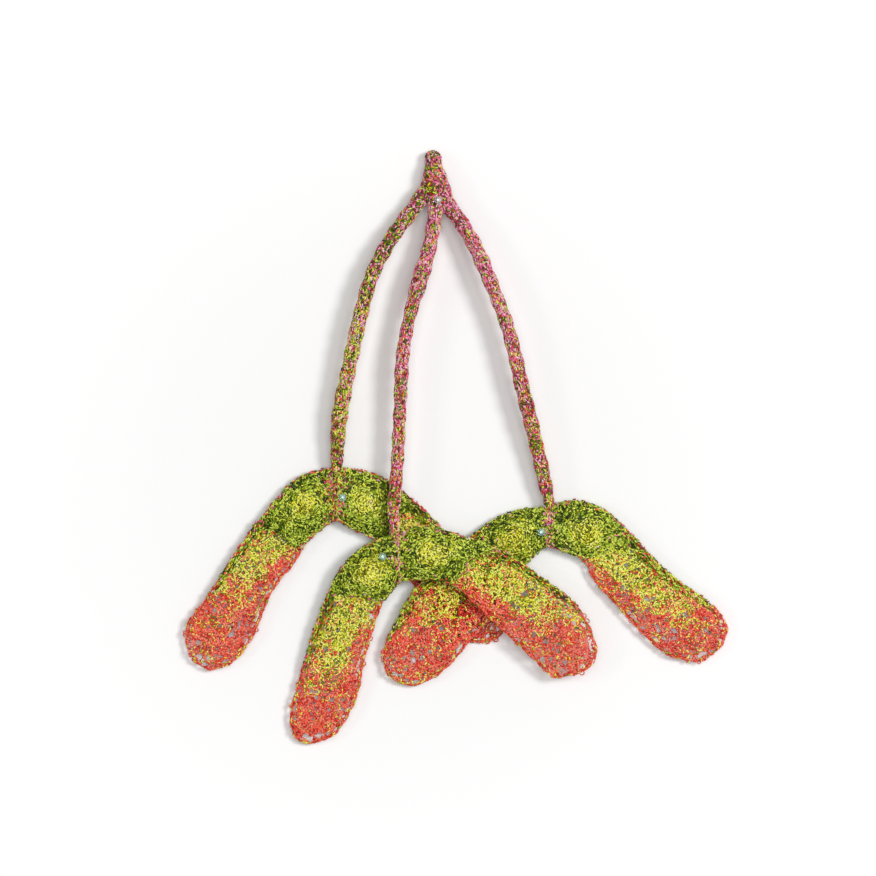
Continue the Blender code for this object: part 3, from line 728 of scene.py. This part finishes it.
def finish_piece(name, threads, replaced=None, core=None):
    """Joins stitches with their core, and sets the piece in the frame."""
    piece = bpy.data.objects.new(name, threads.mesh(name))
    bpy.context.scene.collection.objects.link(piece)
    if core:
        select(core, piece)
        bpy.ops.object.join()
    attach(piece, "root")
    if replaced:
        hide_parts(replaced)
    return piece


def draws(kind, i):
    """Python's and numpy's random numbers for one piece."""
    return random.Random(FIRST_DRAW[kind] + i), np.random.default_rng(FIRST_DRAW[kind] + i)


def chance(rng, n, share):
    return rng.random(n) < share


def by_run(rng, made, hold):
    """Random numbers, one for each stitch, that stay close to one another along a run."""
    runs = made[:, RUN].astype(int)
    each = rng.random(runs.max() + 1)
    return each[runs] * hold + rng.random(len(runs)) * (1 - hold)


def toned(rng, dye, middle, made=None, alike=0.24):
    """Chart places of dyes with scattered tones; sewn stitches are alike along a run, with painted shade on
    stitches low in the layers and painted light on those on top.
    """
    if made is None:
        scatter = rng.normal(0, 0.32, len(dye))
    else:
        runs = made[:, RUN].astype(int)
        # the last term is painted shade and light: deeper tones for stitches laid over little thread, lighter
        # ones for stitches on top
        scatter = (rng.normal(0, alike, runs.max() + 1)[runs] + rng.normal(0, 0.40, len(dye))
                   + np.clip(0.42 * (made[:, PASSED] - 0.45), -0.22, 0.3))
    return dye_place(dye, np.clip(middle + scatter, 0, 1))


def mixed(rng, *choices):
    """A drawer of dyes: each choice is a dye, its share and its middle tone."""
    shares = np.cumsum([c[1] for c in choices])
    families = np.array([c[0] for c in choices])
    tones = np.array([c[2] for c in choices])

    def draw_dyes(n):
        pick = np.searchsorted(shares / shares[-1], rng.random(n))
        return toned(rng, families[pick], tones[pick])
    return draw_dyes


def lay(seed, threads, made, field, under, dye, rng, sink=0.0, lift=0.26):
    """Sets chart stitches on one of the seed's surfaces, each over the threads already there."""
    a, up_a = seed.place(field, made[:, START], under)
    b, up_b = seed.place(field, made[:, END], under)
    width = seed.sizes.width
    rise = width * (0.2 + lift * np.minimum(made[:, PASSED], 2.8)) * rng.uniform(0.75, 1.25, len(made))
    down = np.array([0, 0, sink * MM])
    threads.add(a - down, b - down, up_a + up_b, rise, dye, width * rng.uniform(0.8, 1.12, len(made)))


def line(threads, points, sizes, dyes, rng):
    """A line of running stitches through points in space."""
    reach = np.concatenate([[0.0], np.cumsum(np.linalg.norm(np.diff(points, axis=0), axis=1))])
    count = max(2, int(reach[-1] / sizes.stitch))
    uneven = rng.normal(0, 0.15 / count, count + 1)
    at = np.sort(np.clip(np.linspace(0, 1, count + 1) + uneven, 0, 1)) * reach[-1]
    holes = np.stack([np.interp(at, reach, run) for run in points.T], -1)
    holes += rng.normal(0, 0.06 * MM, holes.shape)
    holes[:, 2] = np.maximum(holes[:, 2], FLOOR_GAP)
    threads.add(holes[:-1], holes[1:], UP, sizes.width * 0.25, dyes(count),
                sizes.width * rng.uniform(0.8, 1.1, count))


def fringe(seed, threads, rng, rim, layers, dyes, deep, wide, loose):
    """Short stitches thrown along an edge at uneven angles, some of them a little outside it."""
    points, ahead, inward = rim
    sizes = seed.sizes
    length = np.linalg.norm(np.diff(points, axis=0), axis=1).sum()
    count = int(length / sizes.stitch * layers)
    pick = rng.integers(0, len(points), count)
    turn = rng.normal(0, loose, count)
    way = ahead[pick] * np.cos(turn)[:, None] + inward[pick] * np.sin(turn)[:, None]
    inset = (np.maximum(rng.normal(deep, wide, count), -0.25) * MM)[:, None]
    middle = points[pick, :2] + inward[pick] * inset
    reach = sizes.stitch * rng.uniform(0.7, 1.3, count)[:, None] / 2
    z = points[pick, 2]
    z = z + (seed.read(seed.top, middle) - z) * rng.uniform(-0.9, 1.15, count) + 0.08 * MM
    tilt = rng.normal(0, 0.12, count) * MM
    a = np.column_stack([middle - way * reach, np.maximum(z - tilt, FLOOR_GAP)])
    b = np.column_stack([middle + way * reach, np.maximum(z + tilt, FLOOR_GAP)])
    threads.add(a, b, UP, sizes.width * rng.uniform(0.2, 0.8, count), dyes(count),
                sizes.width * rng.uniform(0.8, 1.1, count))


def pod_dyes(seed, made, rng):
    """Green, with a pale yellow-green patch over the seed and a little pink astray."""
    n = len(made)
    points = made[:, END]
    pale = np.array(seed.spec["pale"]) * MM
    turn = seed.along[seed.chart.cells(pale)]
    off = points - pale
    run = (off[:, 0] * math.cos(turn) + off[:, 1] * math.sin(turn)) / (4.6 * MM)
    over = (off[:, 1] * math.cos(turn) - off[:, 0] * math.sin(turn)) / (3.4 * MM)
    glow = np.exp(-(run * run + over * over) ** 1.2)
    luck = by_run(rng, made, 0.72)
    beyond = np.clip((seed.read(seed.u, points) - seed.pod[0]) / 0.12, 0, 1)
    dye = np.where(luck < 0.13 + 0.74 * glow + 0.20 * beyond, YELLOW, GREEN)
    dye = np.where((luck > 0.9) & chance(rng, n, 0.12), PINK, dye)
    dye = np.where(chance(rng, n, 0.16 * beyond), CORAL, dye)
    return toned(rng, dye, 0.45 + 0.30 * glow, made)


def sew_pod(seed, threads, draw, rng):
    """Stitches over both faces of a pod and its band, ragged where the wing begins, and their edges."""
    sizes, chart = seed.sizes, seed.chart
    x, y = chart.middles()
    pale = np.array(seed.spec["pale"]) * MM
    near = np.hypot(x - pale[0], y - pale[1])
    skirt = seed.border(seed.v) + 0.012 + 0.016 * seed.ragged
    end = seed.band_end - 0.02 + 0.03 * seed.ragged
    band = (seed.v < seed.band(seed.u) + 0.05 + 0.10 * seed.ragged) & (seed.u < end)
    chart.room = seed.inside & ((seed.u < skirt) | band)
    chart.way = np.where(seed.u < skirt, np.arctan2(y - pale[1], x - pale[0]) + math.pi / 2, seed.along)
    chart.grain = np.where(seed.u < skirt, 0.26 * np.exp(-(near / (5.5 * MM)) ** 2), 0.5)
    for field, under, cover in ((seed.top, False, 1.0), (seed.bottom, True, 0.75)):
        made = chart.sew(draw, cover * sizes.pod_cover, sizes.stitch * 0.9, sizes.width, 0.3, 0.2)
        lay(seed, threads, made, field, under, pod_dyes(seed, made, rng), rng)
    blush = seed.spec["blush"]
    edge = mixed(rng, (GREEN, 0.86 - 1.25 * blush, 0.4), (PINK, blush * 0.6, 0.36),
                 (CORAL, blush * 0.5, 0.3), (YELLOW, 0.12, 0.4))
    rims = seed.rim(back=(0.0, seed.band_end)), seed.rim(belly=(0.0, seed.pod[1]))
    for rim, layers in zip(rims, (5.4, 5.8)):
        fringe(seed, threads, rng, rim, layers, edge, deep=0.28, wide=0.1 + 0.4 * blush, loose=0.3)
    across = np.linspace(-0.9, 0.94, 120)
    hem = seed.plan(seed.border(across) + 0.012 + 0.012 * np.sin(9 * across + seed.phase), across)
    hem = np.column_stack([hem, seed.read(seed.top, hem) + 0.1 * MM])
    line(threads, hem, sizes, mixed(rng, (GREEN, 0.6, 0.4), (PINK, 0.62 - 0.8 * blush, 0.5)), rng)


def open_meshes(seed, draw):
    """Takes the open meshes out of the chart's room: small round ones, and long ones beside the rim."""
    chart = seed.chart
    x, y = chart.middles()
    points, ahead, inward = seed.rim(belly=(seed.pod[1] + 0.04, 1.0), back=(1.0, seed.band_end + 0.03))
    holes = []
    i = draw.randrange(8)
    while i < len(points):
        spot = points[i, :2] + inward[i] * draw.uniform(0.6, 1.2) * MM
        way = ahead[i]
        luck = draw.random()
        if luck < 0.24:
            holes.append((spot, way, draw.uniform(0.65, 1.1), draw.uniform(0.24, 0.40)))
        elif luck < 0.58:
            holes.append((spot, way, draw.uniform(0.28, 0.6), draw.uniform(0.14, 0.24)))
        i += draw.randint(9, 17)
    for _ in range(SMALL_MESHES):
        u = max(seed.pod) + (0.97 - max(seed.pod)) * draw.random() ** 0.8
        v = draw.uniform(-0.7, 0.72)
        spot = seed.plan(np.array([u]), np.array([v]))[0]
        turn = seed.along[chart.cells(spot)] + draw.uniform(-0.6, 0.6)
        size = draw.choice((0.14, 0.18, 0.22, 0.3, 0.4)) * (0.5 + 0.7 * u)
        holes.append((spot, (math.cos(turn), math.sin(turn)), size * draw.uniform(1.0, 1.6), size))
    spare = 0.16  # for the thread's own half width
    for spot, way, long, wide in holes:
        run = ((x - spot[0]) * way[0] + (y - spot[1]) * way[1]) / ((long + spare) * MM)
        over = ((y - spot[1]) * way[0] - (x - spot[0]) * way[1]) / ((wide + spare) * MM)
        chart.room &= run * run + over * over > 1


def wing_dyes(seed, made, rng):
    """Yellow-green by the pod, coral at the tip and, sooner, along the belly."""
    n = len(made)
    points = made[:, END]
    u, v = seed.read(seed.u, points), seed.read(seed.v, points)
    uneven = seed.read(seed.ragged, points)
    start = seed.spec["coral"] - 0.44 / (1 + np.exp(-(v - 0.46) / 0.12))
    green_end = seed.spec["green"][0] + np.diff(seed.spec["green"]) * (v + 1) / 2 + 0.02 * uneven
    leafy = 1 / (1 + np.exp((u - green_end) / 0.014))
    coral = 0.20 + 0.61 / (1 + np.exp(-(u + 0.06 * uneven - start) / 0.055))
    coral *= 1 - 0.8 * leafy
    luck = by_run(rng, made, 0.78)
    green = 0.15 + 0.3 / (1 + np.exp((u - green_end - 0.10 + 0.1 * (v + 0.4)) / 0.06)) + 0.45 * leafy
    dye = np.where(luck < coral, CORAL, np.where(chance(rng, n, green), GREEN, YELLOW))
    return toned(rng, dye, np.where(dye == GREEN, 0.46, 0.60), made)


def sew_wing(seed, threads, draw, rng):
    """The wing's lace: looping lines round its open meshes, and the separate lines of its rim."""
    sizes, chart = seed.sizes, seed.chart
    skirt = seed.border(seed.v) - 0.022 + 0.016 * seed.ragged
    band = (seed.v < seed.band(seed.u) - 0.22 + 0.10 * seed.ragged) & (seed.u < seed.band_end - 0.03)
    chart.room = seed.inside & (seed.u > skirt) & ~band
    near_edge = seed.off < 1.3 * MM
    chart.way = np.where(near_edge, seed.round, seed.along)
    chart.grain = np.where(near_edge, 0.9, 0.0)
    open_meshes(seed, draw)
    made = chart.sew(draw, sizes.wing_cover, sizes.stitch * 0.84, sizes.width, 0.56, 0.6)
    lay(seed, threads, made, seed.middle, False, wing_dyes(seed, made, rng), rng, sink=0.2, lift=0.3)
    points, _, inward = rim = seed.rim(belly=(seed.pod[1], 1.0), back=(1.0, seed.band_end - 0.03))
    reach = np.cumsum(np.linalg.norm(np.gradient(points, axis=0), axis=1)) / MM
    coral = mixed(rng, (CORAL, 0.84, 0.5), (YELLOW, 0.16, 0.45))
    for k, inset in enumerate((0.02, 0.16, 0.4)):
        slow = 0.16 * np.sin(reach / (0.75 + 0.2 * k) + seed.phase + 2 * k)
        sway = (slow + 0.1 * np.sin(reach / 0.31 + k)) * MM
        spots = points.copy()
        spots[:, :2] += inward * (inset * MM - sway)[:, None]
        spots[:, 2] += (0.1 * k - 0.1) * MM
        line(threads, spots, sizes, coral, rng)
    fringe(seed, threads, rng, rim, 1.1, coral, deep=0.3, wide=0.2, loose=0.25)
    fringe(seed, threads, rng, rim, 1.8, coral, deep=0.85, wide=0.26, loose=0.95)
    for _ in range(4):
        i = rng.integers(len(points) // 10, len(points) - 10)
        middle = points[i] - np.append(inward[i] * 0.1 * MM, 0)
        stray_loop(threads, middle, rng.uniform(0.4, 0.62) * MM, sizes, coral, rng)


def stray_loop(threads, middle, radius, sizes, dyes, rng):
    """One small ring of stitches, such as the lines that stray past the edge."""
    turn = np.linspace(0, 2 * math.pi, 8)
    ring = middle + np.column_stack([np.cos(turn), np.sin(turn), 0.15 * np.sin(turn + 1)]) * radius
    count = len(turn) - 1
    threads.add(ring[:-1], ring[1:], UP, sizes.width * 0.2, dyes(count),
                sizes.width * rng.uniform(0.75, 0.95, count))


def sew_seam(threads, rng, pods, breadth, density, tints):
    """Uneven stitches along and over the valley between two pods, on both faces."""
    left, right = (Seed(name) for name in pods)
    sizes = left.sizes
    dyes = mixed(rng, *tints)
    length = np.linalg.norm(left.belly.line[0] - left.back.line[0])

    def spot(across, v, under):
        sides = []
        for seed, sign in ((left, -1), (right, 1)):
            u = 0.008 + 0.05 * np.clip(sign * across - 0.15, 0, 1)
            points, _ = seed.place(seed.bottom if under else seed.top, seed.plan(u, v), under)
            sides.append(points)
        part = np.clip(across + 0.5, 0, 1)[:, None]
        points = sides[0] * (1 - part) + sides[1] * part
        points[:, 2] -= (-1 if under else 1) * 0.25 * MM * np.clip(1 - np.abs(across) * 2.5, 0, 1)
        return points

    for under, count in ((False, density), (True, STITCHES_BELOW)):
        across, v = rng.normal(0, breadth, count), rng.uniform(-1, 1, count)
        turn = rng.normal(0, 0.4, count)
        reach = sizes.stitch * rng.uniform(0.55, 0.95, count) / 2
        dv = np.cos(turn) * reach / (length / 2)
        da = np.sin(turn) * reach / (1.6 * MM)
        a, b = (spot(across + sign * da, np.clip(v + sign * dv, -1, 1), under) for sign in (-1, 1))
        threads.add(a, b, DOWN if under else UP, sizes.width * rng.uniform(0.1, 0.6, count), dyes(count),
                    sizes.width * rng.uniform(0.75, 1.05, count))


class Cord:
    """A stretch of the stalk. Its chart is unrolled: s runs along it and the other way goes round it."""

    KNOB = 0.09                # share of the radius by which the wrapping swells and dips
    TWIST = 5.2 * MM           # length over which the wrapping goes once round
    ROUND = 1.85 * MM          # radius at which the chart is unrolled

    def __init__(self, name, phase):
        self.spec = CORDS[name]
        self.route = Curve(self.spec["route"])
        self.phase = phase
        self.chart = Chart((0, 0), (self.route.length, 2 * math.pi * self.ROUND), wraps=True)
        self.chart.room[:, 1:-2] = True
        self.chart.grain[:] = 0.06

    def radius(self, share, turn):
        base = blend(self.spec["radii"], share) * MM
        wrap = 2 * math.pi * share * self.route.length / self.TWIST + self.phase
        return base * (1 + self.KNOB * np.sin(2 * turn + wrap))

    def place(self, s, way_round, lift=0.0):
        """Points on the cord, given on its chart, and their outward normals."""
        turn = way_round / self.ROUND
        share = s / self.route.length
        here = self.route.at(share)
        ahead = self.route.at(share + 0.01) - self.route.at(share - 0.01)
        ahead /= np.linalg.norm(ahead, axis=-1, keepdims=True)
        side = np.cross(ahead, UP)
        side /= np.linalg.norm(side, axis=-1, keepdims=True)
        up = np.cross(side, ahead)
        out = side * np.cos(turn)[..., None] + up * np.sin(turn)[..., None]
        end = np.minimum(s, self.route.length - s)
        close = np.sqrt(np.clip(end / (1.0 * MM), 0.15, 1))
        spots = here + out * ((self.radius(share, turn) - 0.2 * MM) * close + lift)[..., None]
        spots[..., 2] = np.maximum(spots[..., 2], 0.2 * MM)
        return spots, out


def core_tube(cord, dye):
    """The closed tube inside a stretch of cord, dyed dark as painted shade between its stitches."""
    rings, sides = int(cord.route.length / (1.0 * MM)), 14
    s = np.linspace(0.0, cord.route.length, rings + 1)
    way_round = np.arange(sides) * 2 * math.pi / sides * cord.ROUND
    spots, _ = cord.place(*(x.ravel() for x in np.meshgrid(s, way_round, indexing="ij")), lift=-0.12 * MM)
    faces = []
    for i in range(rings):
        for k in range(sides):
            a, b = i * sides + k, i * sides + (k + 1) % sides
            faces.append((a, b, b + sides, a + sides))
    faces.append(tuple(reversed(range(sides))))
    faces.append(tuple(range(rings * sides, (rings + 1) * sides)))
    mesh = bpy.data.meshes.new("core")
    mesh.from_pydata(spots.tolist(), [], faces)
    core = bpy.data.objects.new("core", mesh)
    bpy.context.scene.collection.objects.link(core)
    select(core)
    bpy.ops.object.mode_set(mode="EDIT")
    bpy.ops.mesh.select_all(action="SELECT")
    bpy.ops.mesh.quads_convert_to_tris()
    bpy.ops.mesh.normals_make_consistent(inside=False)
    bpy.ops.object.mode_set(mode="OBJECT")
    dye_core(mesh, dye)
    return core


class SAMARA_OT_stage(bpy.types.Operator):
    """Lay the pale floor, hang the lights and set the camera straight above"""

    bl_idname = "samara.stage"
    bl_label = "Stage"

    EYE = (-4.4 * MM, 2.2 * MM, 0.9)
    SENSOR = 36.0
    FRAME_WIDTH = 214.6 * MM   # what the picture spans
    SPAN_HEIGHT = 3 * MM       # at this height
    # Place, size and power.
    LAMPS = {"key": ((1.24, 0.40, 1.56), 0.60, 22.8), "fill": ((-0.90, 0.10, 0.65), 0.25, 0.95),
             "overhead": ((0.05, 0.10, 1.3), 1.0, 7.2)}

    def execute(self, context):
        scene = context.scene
        bpy.ops.object.camera_add(location=self.EYE, rotation=(0, 0, 0))
        camera = context.object
        camera.data.sensor_width = self.SENSOR
        camera.data.lens = self.SENSOR * (self.EYE[2] - self.SPAN_HEIGHT) / self.FRAME_WIDTH
        camera.data.clip_start = 0.05
        scene.camera = camera
        bpy.ops.mesh.primitive_plane_add(size=3.0, location=(0, 0, -0.05 * MM))
        floor = context.object
        floor.name = "floor"
        floor.data.materials.append(self.paper())
        for name, (place, size, power) in self.LAMPS.items():
            self.lamp(name, place, size, power)
        world = bpy.data.worlds.new("studio")
        world.use_nodes = True
        plug(world.node_tree.nodes["Background"], {"Color": (1.0, 0.996, 0.988, 1), "Strength": 0.285})
        scene.world = world
        scene.view_settings.view_transform = "Standard"
        return {"FINISHED"}

    @staticmethod
    def lamp(name, place, size, power):
        bpy.ops.object.light_add(type="AREA", location=place)
        lamp = bpy.context.object
        lamp.name = name
        lamp.data.shape = "DISK"
        lamp.data.size = size
        lamp.data.energy = power
        lamp.rotation_euler = (-lamp.location).to_track_quat("-Z", "Y").to_euler()

    @staticmethod
    def paper():
        made, tree, shader = material("paper")
        pulp, where = fine_noise(tree, 900.0, 3.0)
        away = node(tree, "ShaderNodeVectorMath", {"operation": "LENGTH"}, {0: where}, "Value")
        # painted light and shade: the paper grows lighter with distance from the cluster
        far = node(tree, "ShaderNodeMapRange", {"interpolation_type": "SMOOTHSTEP"},
                   {"Value": away, "From Min": 30 * MM, "From Max": 150 * MM})
        dyes = bpy.context.scene.samara_dyes
        tint = mix(tree, far, (*dyes.floor, 1), (*dyes.floor_painted_light_rim, 1))
        bump = node(tree, "ShaderNodeBump", None, {"Strength": 0.08, "Distance": 0.05 * MM, "Height": pulp})
        plug(shader, {"Base Color": tint, "Roughness": 0.85, "Normal": bump})
        return made


class SAMARA_OT_stalk(bpy.types.Operator):
    """Wrap the forked cord in zigzag and looping stitches"""

    bl_idname = "samara.stalk"
    bl_label = "Stalk"

    def execute(self, context):
        sizes = context.scene.samara_thread
        for i, name in enumerate(CORDS):
            draw, rng = draws("stalk", i)
            cord = Cord(name, 2.0 * (i - 1) if i else 0.0)
            threads = Threads()
            made = cord.chart.sew(draw, sizes.cord_cover, sizes.stitch * 0.92, sizes.width, 0.4, 0.15)
            a, up_a = cord.place(*made[:, START].T)
            b, up_b = cord.place(*made[:, END].T)
            n = len(made)
            s, way_round = made[:, END].T
            along = s / cord.route.length
            patch = np.sin(s / (1.7 * MM) + 2 * (way_round / cord.ROUND)) * 0.04
            pink = by_run(rng, made, 0.2) < blend(cord.spec["pink"], along) + 0.09 + patch
            warm = chance(rng, n, 0.04 + 0.24 * along)
            olive = np.where(chance(rng, n, 0.10 + 0.22 * along), YELLOW, GREEN)
            dye = np.where(pink, np.where(warm, CORAL, PINK), olive)
            rise = sizes.width * (0.2 + 0.3 * np.minimum(made[:, PASSED], 2.6))
            tones = toned(rng, dye, np.where(dye == PINK, 0.64, 0.50), made, alike=0.1)
            threads.add(a, b, up_a + up_b, rise, tones, sizes.width * rng.uniform(0.8, 1.12, n))
            # the core's deep green tone is painted shade between the cord's stitches
            core = core_tube(cord, dye_place(GREEN, 0.14))
            finish_piece(f"cord_{name}", threads, "stalk", core)
        return {"FINISHED"}


class SAMARA_OT_pods(bpy.types.Operator):
    """Cover each padded pod and its band in swirled green stitches"""

    bl_idname = "samara.pods"
    bl_label = "Pods"

    def execute(self, context):
        for i, name in enumerate(SEEDS):
            draw, rng = draws("pods", i)
            threads = Threads()
            sew_pod(Seed(name), threads, draw, rng)
            # the core's deep green tone is painted shade between the stitches
            core = underlay(f"pod_{name}", 0.28 * MM, dye_place(GREEN, 0.16))
            piece = finish_piece(f"stitched_pod_{name}", threads, f"pod_{name}", core)
        return {"FINISHED"}


class SAMARA_OT_wings(bpy.types.Operator):
    """Work each wing in open looping lace"""

    bl_idname = "samara.wings"
    bl_label = "Wings"

    def execute(self, context):
        for i, name in enumerate(SEEDS):
            draw, rng = draws("wings", i)
            threads = Threads()
            sew_wing(Seed(name), threads, draw, rng)
            finish_piece(f"lace_wing_{name}", threads, f"wing_{name}")
        return {"FINISHED"}


class SAMARA_OT_seams(bpy.types.Operator):
    """Join the pods of each pair with pink and green stitches along the valley between them"""

    bl_idname = "samara.seams"
    bl_label = "Seams"

    def execute(self, context):
        for i, (name, spec) in enumerate(SEAMS.items()):
            threads = Threads()
            _, rng = draws("seams", i)
            sew_seam(threads, rng, **spec)
            finish_piece(f"seam_{name}", threads)
        return {"FINISHED"}


class SAMARA_OT_pins(bpy.types.Operator):
    """Stand the glass-headed pins in their holes"""

    bl_idname = "samara.pins"
    bl_label = "Pins"

    def execute(self, context):
        sizes = context.scene.samara_pins
        clear = self.glass("clear_glass", 0.80, 0.80, 0.76)
        tinted = self.glass("sea_glass", 0.66, 0.88, 0.79)
        steel = self.steel()
        for name in PINS:
            (left, front, foot), (right, back, top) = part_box(name)
            x, y, middle = (left + right) / 2, (front + back) / 2, top - sizes.head
            bpy.ops.mesh.primitive_cylinder_add(vertices=16, radius=sizes.shank, depth=middle - foot,
                                                location=(x, y, (middle + foot) / 2))
            shank = context.object
            shank.data.materials.append(steel)
            bpy.ops.object.shade_smooth_by_angle(angle=math.radians(40))
            bpy.ops.mesh.primitive_uv_sphere_add(segments=32, ring_count=20, radius=sizes.head,
                                                 location=(x, y, middle))
            head = context.object
            head.data.materials.append(clear if name == "pin_fork" else tinted)
            bpy.ops.object.shade_smooth()
            select(shank, head)
            bpy.ops.object.join()
            piece = context.object
            piece.name = f"glass_{name}"
            bpy.ops.object.transform_apply(location=True, rotation=True, scale=True)
            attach(piece, "root")
            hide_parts(name)
        return {"FINISHED"}

    @staticmethod
    def glass(name, *tint):
        made, tree, shader = material(name)
        swirl, _ = fine_noise(tree, 400.0, 1.0)
        plug(shader, {"Base Color": (*tint, 1), "Roughness": swirl * 0.06 + 0.08,
                      "Transmission Weight": 0.72, "IOR": 1.16})
        return made

    @staticmethod
    def steel():
        made, tree, shader = material("pin_steel")
        draw_marks, _ = fine_noise(tree, 3000.0)
        plug(shader, {"Base Color": (0.62, 0.62, 0.64, 1), "Metallic": 1.0,
                      "Roughness": draw_marks * 0.2 + 0.2})
        return made


class SAMARA_PT_panel(bpy.types.Panel):
    """Lists the cluster's parts and settings"""

    bl_label = "Samaras"
    bl_space_type = "VIEW_3D"
    bl_region_type = "UI"
    bl_category = "Samaras"

    def draw(self, context):
        for operator in OPERATORS:
            self.layout.operator(operator.bl_idname)
        for group in (context.scene.samara_thread, context.scene.samara_dyes, context.scene.samara_pins):
            box = self.layout.box()
            for name in group.__annotations__:
                box.prop(group, name)


GROUPS = {"samara_thread": SamaraThread, "samara_dyes": SamaraDyes, "samara_pins": SamaraPins}
OPERATORS = (SAMARA_OT_stage, SAMARA_OT_stalk, SAMARA_OT_pods, SAMARA_OT_wings, SAMARA_OT_seams,
             SAMARA_OT_pins)


def register():
    for kind in (*GROUPS.values(), *OPERATORS, SAMARA_PT_panel):
        bpy.utils.register_class(kind)
    for name, kind in GROUPS.items():
        setattr(bpy.types.Scene, name, bpy.props.PointerProperty(type=kind))


def unregister():
    for name in GROUPS:
        delattr(bpy.types.Scene, name)
    for kind in reversed((*GROUPS.values(), *OPERATORS, SAMARA_PT_panel)):
        bpy.utils.unregister_class(kind)


def main():
    register()
    bpy.ops.samara.stage()
    bpy.ops.samara.stalk()
    bpy.ops.samara.pods()
    bpy.ops.samara.wings()
    bpy.ops.samara.seams()
    bpy.ops.samara.pins()


if __name__ == "__main__":
    main()
